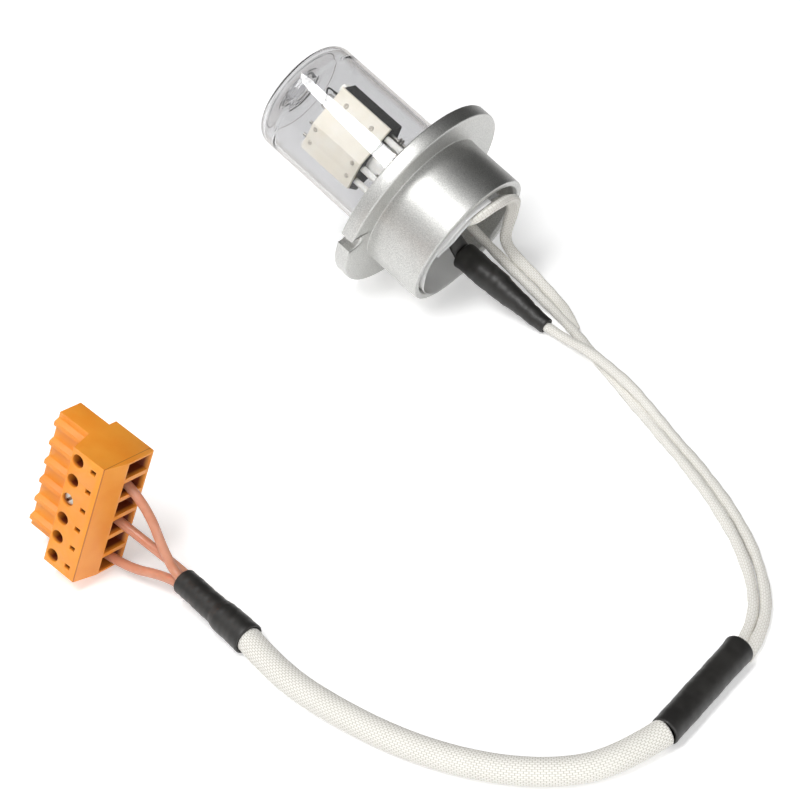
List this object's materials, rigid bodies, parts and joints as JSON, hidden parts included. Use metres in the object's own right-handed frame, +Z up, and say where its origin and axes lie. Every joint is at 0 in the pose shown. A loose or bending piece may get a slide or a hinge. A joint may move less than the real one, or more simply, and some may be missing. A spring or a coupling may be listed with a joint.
{
  "type": "deuterium lamp",
  "caption": "Side-on ultraviolet discharge lamp: a glass bulb with its electrode housing in a flanged metal base, with a braided lead and a screw plug, lying on a surface.",
  "frame": {"origin": "on the surface the lamp lies on, below the middle of the lamp (bulb and base, without the lead)", "axes": "+Z up, +X along the lying lamp from the dome towards the lead, +Y sideways; the bulb axis lies in the XZ plane and the bulb points along -X and upwards"},
  "size_m": [0.1819, 0.1583, 0.0538],
  "materials": {
    "aluminium": "bead-blasted clear-anodised satin aluminium",
    "bulb_glass": "clear polished glass",
    "stem_glass": "clear pressed glass",
    "cement": "matt off-white ceramic cement",
    "ceramic": "white unglazed ceramic",
    "cream_ceramic": "cream unglazed ceramic",
    "dark_metal": "blackened sheet metal, matt",
    "coated_coil": "oxide-coated coil, matt white",
    "wire": "drawn nickel wire",
    "clear_film": "clear plastic film",
    "shrink": "black satin heat-shrink tube",
    "glass_braid": "off-white braided glass-fibre sleeve",
    "lead": "salmon translucent insulated lead",
    "orange_plastic": "orange moulded plastic, satin",
    "zinc_steel": "zinc-plated steel"
  },
  "bodies": {
    "root": {"anode": "dark_metal", "aperture_plate": "dark_metal", "back_cover": "cream_ceramic", "baffle": "dark_metal", "base": "aluminium", "bead_far": "ceramic", "bead_near": "ceramic", "boot": "shrink", "braided_sleeve": "glass_braid", "bulb_cement": "cement", "cathode": "coated_coil", "ceramic_post": "ceramic", "clamp_screw_1": "zinc_steel", "clamp_screw_2": "zinc_steel", "clamp_screw_3": "zinc_steel", "clamp_screw_4": "zinc_steel", "clamp_screw_5": "zinc_steel", "clamp_screw_6": "zinc_steel", "collar": "shrink", "exit_plate": "cream_ceramic", "film_liner": "clear_film", "glass_envelope": "bulb_glass", "glass_stem": "stem_glass", "joint_sleeve": "shrink", "lead_1": "lead", "lead_2": "lead", "lead_3": "lead", "plug_housing": "orange_plastic", "rod_anode": "wire", "rod_cathode": "wire", "rod_far": "wire", "rod_middle": "wire", "rod_return": "wire", "rod_side": "wire", "shield": "dark_metal", "sleeve_a": "glass_braid", "sleeve_b": "glass_braid", "spring_wire": "wire", "taper_sleeve": "shrink"}
  },
  "joints": []
}
